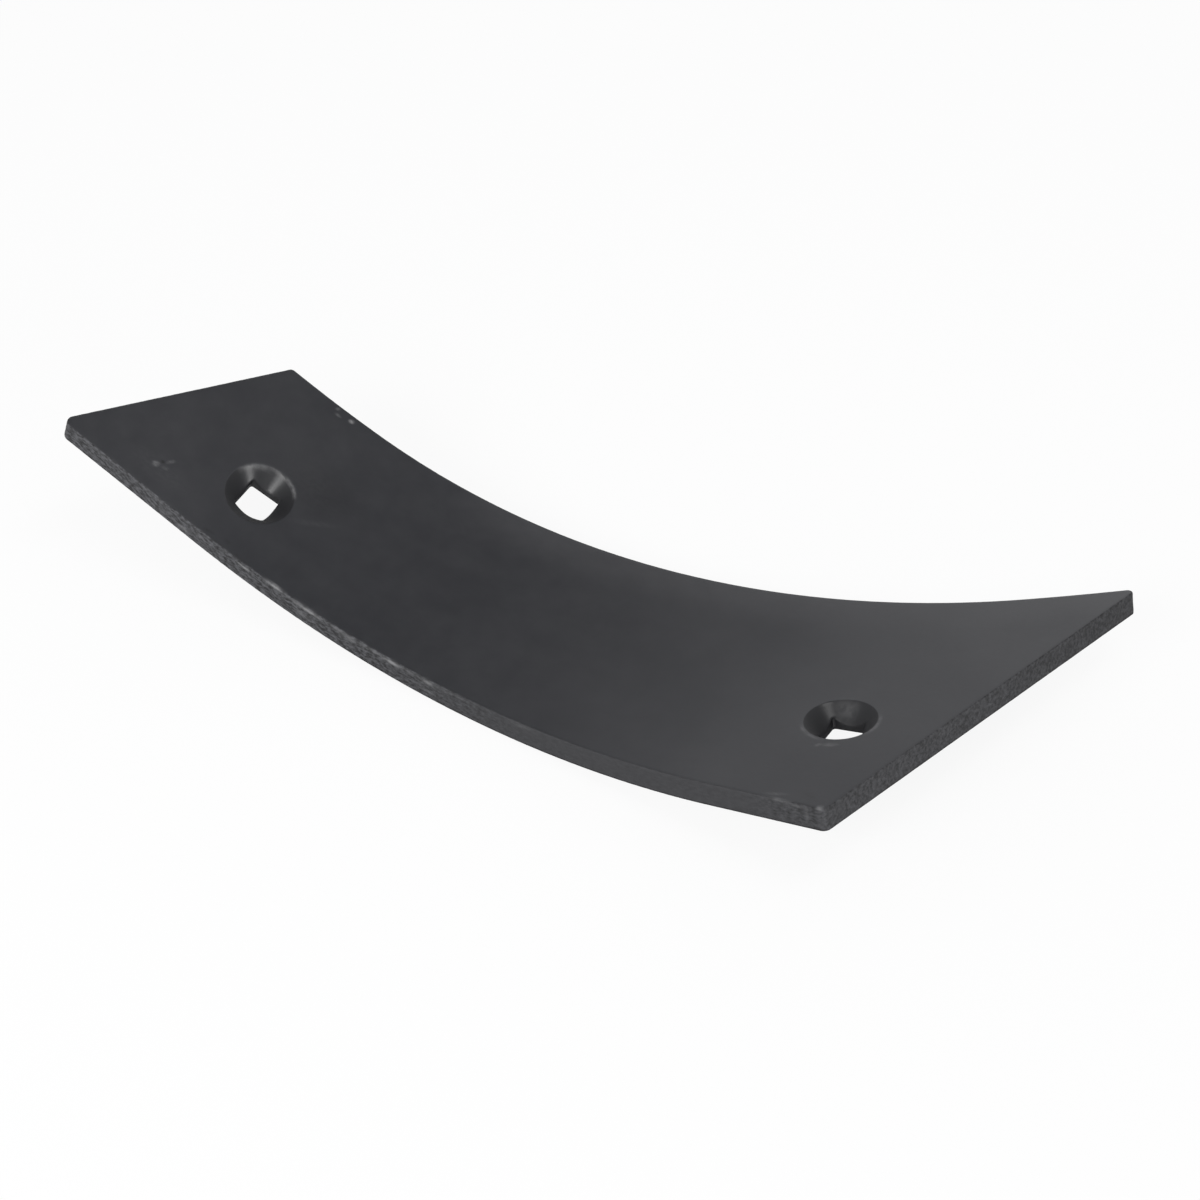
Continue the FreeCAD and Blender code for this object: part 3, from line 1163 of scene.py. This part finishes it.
def middle_of_mass(mesh: Mesh) -> Vector:
    """Add up the tetrahedra from the origin to each face of a closed mesh.

    Args:
        mesh: The mesh.

    Returns:
        Centre of the solid that it bounds.
    """
    mesh.calc_loop_triangles()
    corners = np.zeros(len(mesh.loop_triangles) * 3, np.int64)
    mesh.loop_triangles.foreach_get("vertices", corners)
    places, corners = vertex_places(mesh), corners.reshape(-1, 3)
    first, second, third = (places[corners[:, side]] for side in range(3))
    volumes = np.einsum("ij,ij->i", first, np.cross(second, third)) / 6.0
    centre = ((first + second + third) / 4.0 * volumes[:, None]).sum(0) / volumes.sum()
    log.info("volume %.0f mm3", volumes.sum() / MM ** 3)
    return Vector(centre)


@dataclass
class ShinPlate:
    """The whole shin: one bent plate with two bolt holes."""

    sizes: BlankSizes = field(default_factory=BlankSizes)
    holes: tuple[BoltHole, ...] = (
        BoltHole(
            x=73.0 * MM,
            y=28.5 * MM,
            # painted highlights where the broken rim and the cone catch the lamps
            wear_and_highlight=(
                HoleHighlight(58.0, 18.0, 0.3 * MM, 0.90),
                HoleHighlight(92.0, 16.0, 0.1 * MM, 0.40),
                HoleHighlight(137.0, 26.0, -0.3 * MM, 0.45, 0.8 * MM),
            ),
            polish=(Polish(85.0, 11.0, 0.84), Polish(149.0, 16.0)),
        ),
        BoltHole(
            x=311.0 * MM,
            y=52.5 * MM,
            # painted highlights on the rim and down the cone, partly a light burr on the rim
            wear_and_highlight=(
                HoleHighlight(-120.0, 24.0, 1.0 * MM, 0.32),
                HoleHighlight(4.0, 24.0, 0.8 * MM, 0.34),
                HoleHighlight(108.0, 22.0, -2.6 * MM, 0.24, 2.6 * MM),
            ),
            polish=(Polish(140.0, 14.0),),
        ),
    )
    nicks: tuple[Nick, ...] = (
        Nick(along=70.0 * MM, length=2.5 * MM, depth=0.25 * MM),
        Nick(along=86.0 * MM, length=1.6 * MM, depth=0.45 * MM),
        Nick(along=91.0 * MM, length=1.2 * MM, depth=0.35 * MM),
        Nick(along=324.0 * MM, length=3.0 * MM, depth=0.30 * MM),
    )
    wear_and_highlight: tuple[EdgeWear, ...] = tuple(
        EdgeWear(along * MM, lift * MM, length * MM, height * MM, strength)
        for along, lift, length, height, strength in (
            (24, -1.2, 12, 1.2, 0.12), (48, -1.4, 9, 1.2, 0.20),
            (50, -6, 8, 2, 0.18), (61, -6, 3.5, 1.6, 0.70),
            (68, -3.2, 5, 1.4, 0.25), (88.5, -1.7, 4, 0.7, 2.00),
            (102.5, -0.4, 5, 0.9, 1.60), (118, -1, 7.5, 1.1, 1.60),
            (116, -4.6, 5, 1.6, 0.40), (133, -0.9, 8, 1, 0.35),
            (147, -0.9, 7, 1, 0.40), (156, -1.2, 5, 1.2, 1.40),
            (164, -1.1, 5, 1, 0.30), (172, -1.4, 5, 1.4, 0.65),
            (172, -5.6, 4, 1.6, 0.25), (184, -1, 9, 1, 0.20),
            (212, -1, 6, 1.2, 0.18), (316, 0, 6, 0.8, 0.40),
            (323, -0.8, 4, 0.7, 0.35), (331, 0, 1.6, 1.2, 0.60),
            (137, -1.9, 6, 1.6, 0.50), (87, 0, 5, 1, -0.90),
            (112, -0.8, 4, 0.9, 0.30), (54, -7.4, 7, 1, -0.40),
            (76, 0, 5, 0.8, -0.50), (101, -6.2, 4, 1.6, -0.45),
            (109, -5.8, 3, 1.4, -0.40), (127, -5, 3, 1.6, -0.35),
            (144, -7.4, 6, 1, -0.45), (304, -7.6, 10, 1, -0.40),
            (324, 0.2, 3, 0.8, -0.50), (328.5, -3, 0.9, 4, -0.35),
            (326, -4, 0.8, 4, 0.15),
        )
    )
    marks: tuple[Mark, ...] = tuple(
        Mark(x * MM, y * MM, length * MM, width * MM, degrees, strength, tone)
        for tone, rows in (
            (Tone.RUBBED, (
                (37.5, 10.8, 2.2, 1.7, 20, 0.50), (41.1, 11.8, 2.2, 1.2, 20, 0.16),
                (40.9, 15.4, 2.6, 1.2, 60, 0.30), (76.9, 79.8, 1.8, 1.5, 30, 0.85),
                (69.6, 80.5, 1.4, 1.1, 30, 0.45), (71.4, 78.3, 2.2, 1, 0, 0.24),
                (96, 33, 12, 2, 35, 0.05), (331, 1.4, 2, 1.4, 0, 0.30),
                (40, 10, 20, 7, 0, 0.04), (315.5, 36.6, 4, 1.8, 20, 0.26),
                (311.5, 35, 2, 1.4, 60, 0.22), (313, 3, 6, 1.4, 15, 0.14),
                (68.5, 28, 1, 1, 0, 0.10),
            )),
            (Tone.SOOTY, (
                (88, 46, 26, 16, 0, 0.30), (324.4, 5.9, 6, 3, -20, 0.30),
                (38.8, 13.3, 1.6, 1.2, 0, 0.80), (72.5, 82, 2, 1, 10, 0.60),
                (75, 82, 1.6, 1, 10, 0.50), (78.5, 82.3, 2.2, 1.2, 10, 0.70),
                (70, 2.4, 3.4, 1.2, 10, 0.50), (78, 3.6, 2.4, 1.2, -10, 0.50),
                (84, 1.6, 2, 0.9, 0, 0.45),
            )),
        )
        for x, y, length, width, degrees, strength in rows
    )

    def build(self) -> Object:
        """Mesh the blank, bend it, let it come to rest and dress it.

        Returns:
            The finished piece, with its place in its mesh.
        """
        blank = PlateMesh(self.sizes, self.holes, self.nicks, self.wear_and_highlight).build()
        piece = new_object("bent_plate", blank)
        finish = WornBlack(RearArc.through(self.sizes), self.marks).build()
        bend = BendTree(self.sizes)
        modifier = piece.modifiers.new("bend", "NODES")
        modifier.node_group = bend.build(finish)
        for socket in modifier.node_group.interface.items_tree:
            if socket.in_out == "INPUT" and socket.name in bend.inputs():
                modifier[socket.identifier] = bend.inputs()[socket.name]
        bpy.context.view_layer.update()
        evaluated = piece.evaluated_get(bpy.context.evaluated_depsgraph_get())
        bent = bpy.data.meshes.new_from_object(evaluated)
        piece.modifiers.remove(modifier)
        piece.data = bent
        self.set_down(bent)
        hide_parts(CAD_NODE)
        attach(piece, BODY)
        return piece

    def set_down(self, mesh: Mesh) -> None:
        """Turn the plate about its bend until it balances, and move it into the frame's box.

        Args:
            mesh: The bent plate.
        """
        bend_centre = Vector((0.0, 0.0, self.sizes.inside_radius + self.sizes.thickness))
        below = middle_of_mass(mesh) - bend_centre
        turn = math.atan2(below.x, -below.z)
        log.info("resting turn %.3f degrees", math.degrees(turn))
        about_centre = Matrix.Rotation(turn, 4, "Y") @ Matrix.Translation(-bend_centre)
        mesh.transform(Matrix.Translation(bend_centre) @ about_centre)
        low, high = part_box(CAD_NODE)
        places = vertex_places(mesh)
        offset = (low + high) / 2.0 - Vector((places.min(0) + places.max(0)) / 2.0)
        mesh.transform(Matrix.Translation(Vector((offset.x, offset.y, 0.0))))


def direction(bearing: float, elevation: float) -> Vector:
    """Unit vector at a bearing round the studio and an elevation over its floor."""
    level = math.cos(elevation)
    return Vector((math.cos(bearing) * level, math.sin(bearing) * level, math.sin(elevation)))


@dataclass(frozen=True)
class Lamp:
    """A soft rectangular lamp that faces the plate."""

    name: str
    bearing_degrees: float
    elevation_degrees: float
    distance: float
    width: float
    height: float
    watts: float

    def build(self, target: Vector) -> None:
        """Hang the lamp round a target and point it there.

        Args:
            target: What it lights.
        """
        away = direction(math.radians(self.bearing_degrees), math.radians(self.elevation_degrees))
        light = bpy.data.lights.new(self.name, "AREA")
        light.shape = "RECTANGLE"
        light.size, light.size_y = self.width, self.height
        light.energy = self.watts
        lamp = new_object(self.name, light)
        lamp.location = target + away * self.distance
        lamp.rotation_euler = (-away).to_track_quat("-Z", "Y").to_euler()
        log.info("lamp %s: %.1f W", self.name, self.watts)


@dataclass
class Studio:
    """Pale floor, soft light, and the camera that looks down on the plate."""

    camera_place: Vector = field(default_factory=lambda: Vector((555.15, -502.15, 651.79)) * MM)
    camera_bearing: float = math.radians(137.995)
    camera_dip: float = math.radians(41.010)
    camera_roll: float = math.radians(3.648)
    lens_mm: float = 79.03
    sensor_mm: float = 36.0
    target: Vector = field(default_factory=lambda: Vector((0.0, 0.0, 20.0)) * MM)
    lamps: tuple[Lamp, ...] = (
        Lamp("left_softbox", -80.0, 31.0, 1.6, 0.8, 0.6, 12.5),
        Lamp("right_softbox", 2.0, 11.0, 1.6, 0.4, 0.5, 5.0),
        Lamp("top_softbox", 30.0, 72.0, 1.6, 0.8, 0.6, 4.9),
        Lamp("back_softbox", 115.0, 22.0, 1.6, 0.9, 0.6, 1.6),
    )
    floor_size: float = 30.0
    floor_colour: Colour = (0.8, 0.8, 0.8, 1.0)
    shown_floor_colour: Colour = (0.95, 0.95, 0.95, 1.0)
    floor_whiteness: float = 0.90
    low_walls: Colour = (1.08, 1.08, 1.10, 1.0)
    high_walls: Colour = (0.225, 0.225, 0.23, 1.0)
    wall_fade: Ramp = Ramp(0.0, 0.9)

    def build(self) -> None:
        """Set up the floor, the lights, the world and the camera."""
        self.build_floor()
        for lamp in self.lamps:
            lamp.build(self.target)
        self.build_world()
        self.build_camera()
        bpy.context.scene.view_settings.view_transform = "Standard"

    @staticmethod
    def for_camera(tree: Tree, lighting: Socket, shown: Socket) -> Socket:
        """Show the camera another shader than the one that lights the object."""
        seen = tree.add("ShaderNodeLightPath").outputs["Is Camera Ray"]
        return tree.add("ShaderNodeMixShader", sockets={0: seen, 1: lighting, 2: shown}).outputs[0]

    def build_floor(self) -> None:
        """A wide pale floor that shows as white and still takes the plate's shadow."""
        half = self.floor_size / 2.0
        mesh = bpy.data.meshes.new("floor")
        corners = [(-half, -half, 0.0), (half, -half, 0.0), (half, half, 0.0), (-half, half, 0.0)]
        mesh.from_pydata(corners, [], [(0, 1, 2, 3)])
        floor = new_object("floor", mesh)
        material = bpy.data.materials.new("pale_floor")
        tree = emptied_tree(material)
        matt, pale = (
            tree.add("ShaderNodeBsdfDiffuse", sockets={"Color": colour}).outputs[0]
            for colour in (self.floor_colour, self.shown_floor_colour)
        )
        white = tree.add("ShaderNodeEmission", sockets={"Color": WHITE, "Strength": 1.0}).outputs[0]
        sockets = {0: self.floor_whiteness, 1: pale, 2: white}
        shown = tree.add("ShaderNodeMixShader", sockets=sockets).outputs[0]
        surface = self.for_camera(tree, matt, shown)
        tree.add("ShaderNodeOutputMaterial", sockets={"Surface": surface})
        mesh.materials.append(material)

    def build_world(self) -> None:
        """Pale studio walls, brighter near the floor, and white where the camera looks past it."""
        world = bpy.data.worlds.new("studio_walls")
        bpy.context.scene.world = world
        tree = emptied_tree(world)
        _, _, height = tree.parts(tree.add("ShaderNodeTexCoord").outputs["Generated"])
        walls = tree.blend(self.wall_fade.at(height), self.low_walls, self.high_walls)
        lit, white = (
            tree.add("ShaderNodeBackground", sockets={"Color": colour, "Strength": 1.0}).outputs[0]
            for colour in (walls, WHITE)
        )
        surface = self.for_camera(tree, lit, white)
        tree.add("ShaderNodeOutputWorld", sockets={"Surface": surface})

    def build_camera(self) -> None:
        """The camera, as the photograph's perspective gives it."""
        data = bpy.data.cameras.new("camera")
        data.lens = self.lens_mm
        data.sensor_width = self.sensor_mm
        camera = new_object("camera", data)
        forward = direction(self.camera_bearing, -self.camera_dip)
        level = forward.cross(Vector((0.0, 0.0, 1.0))).normalized()
        upright = level.cross(forward)
        right = level * math.cos(self.camera_roll) + upright * math.sin(self.camera_roll)
        up = right.cross(forward)
        axes = Matrix((right, up, -forward)).transposed().to_4x4()
        camera.matrix_world = Matrix.Translation(self.camera_place) @ axes
        bpy.context.scene.camera = camera


def main() -> None:
    """Build the plate and the studio round it."""
    piece = ShinPlate().build()
    log.info("piece %s: %d faces", piece.name, len(piece.data.polygons))
    Studio().build()


if __name__ == "__main__":
    main()
